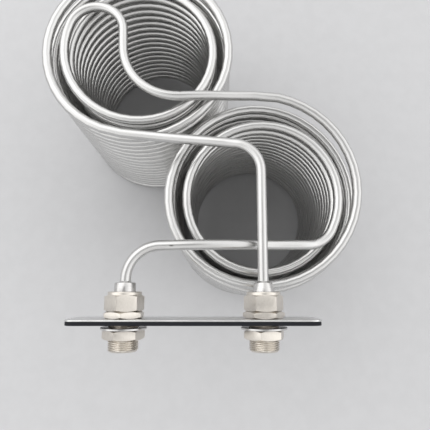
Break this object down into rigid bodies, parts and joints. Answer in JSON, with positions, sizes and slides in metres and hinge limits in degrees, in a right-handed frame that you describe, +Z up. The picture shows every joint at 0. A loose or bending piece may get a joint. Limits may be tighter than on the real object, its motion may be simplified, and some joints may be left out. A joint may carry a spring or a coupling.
{
  "type": "immersion wort chiller",
  "caption": "Immersion wort chiller: stainless tube wound into nested coils side by side, fed through threaded unions on a wall plate, that cools hot liquid in a vessel.",
  "frame": {"origin": "centre of the gasket's outer face, midway between the two union axes, where it seals on the vessel's wall", "axes": "+Z up along the coils, +Y from the wall into the vessel along the union axes, +X along the plate"},
  "size_m": [0.3243, 0.3944, 0.247],
  "materials": {
    "stainless_tube": "bright satin, fine lines along the tube",
    "stainless_plate": "satin sheet, polished edge",
    "stainless_fitting": "turned, satin",
    "nickel_brass": "nickel plated, satin",
    "black_rubber": "matt"
  },
  "bodies": {
    "root": {"mounting_plate": "stainless_plate", "plate_gasket": "black_rubber", "feed_tube": "stainless_tube", "coil_link_tube": "stainless_tube", "return_tube": "stainless_tube", "right_inner_helix": "stainless_tube", "right_bottom_turn": "stainless_tube", "right_outer_helix": "stainless_tube", "right_bulkhead_body": "nickel_brass", "right_locknut": "nickel_brass", "right_backing_nut": "nickel_brass", "right_union_seal": "black_rubber", "right_tail_sleeve": "stainless_fitting", "right_outside_washer": "stainless_fitting", "left_inner_helix": "stainless_tube", "left_bottom_turn": "stainless_tube", "left_outer_helix": "stainless_tube", "left_bulkhead_body": "nickel_brass", "left_locknut": "nickel_brass", "left_backing_nut": "nickel_brass", "left_union_seal": "black_rubber", "left_tail_sleeve": "stainless_fitting", "left_outside_washer": "stainless_fitting"},
    "left_union_nut": {"left_union_nut": "nickel_brass"},
    "right_union_nut": {"right_union_nut": "nickel_brass"}
  },
  "joints": [
    {"name": "left_union_nut_turn", "type": "hinge", "parent": "root", "child": "left_union_nut", "pos_m": [-0.061, 0.019, 0], "axis": [0, 1, 0], "continuous": true},
    {"name": "right_union_nut_turn", "type": "hinge", "parent": "root", "child": "right_union_nut", "pos_m": [0.061, 0.019, 0], "axis": [0, 1, 0], "continuous": true}
  ]
}
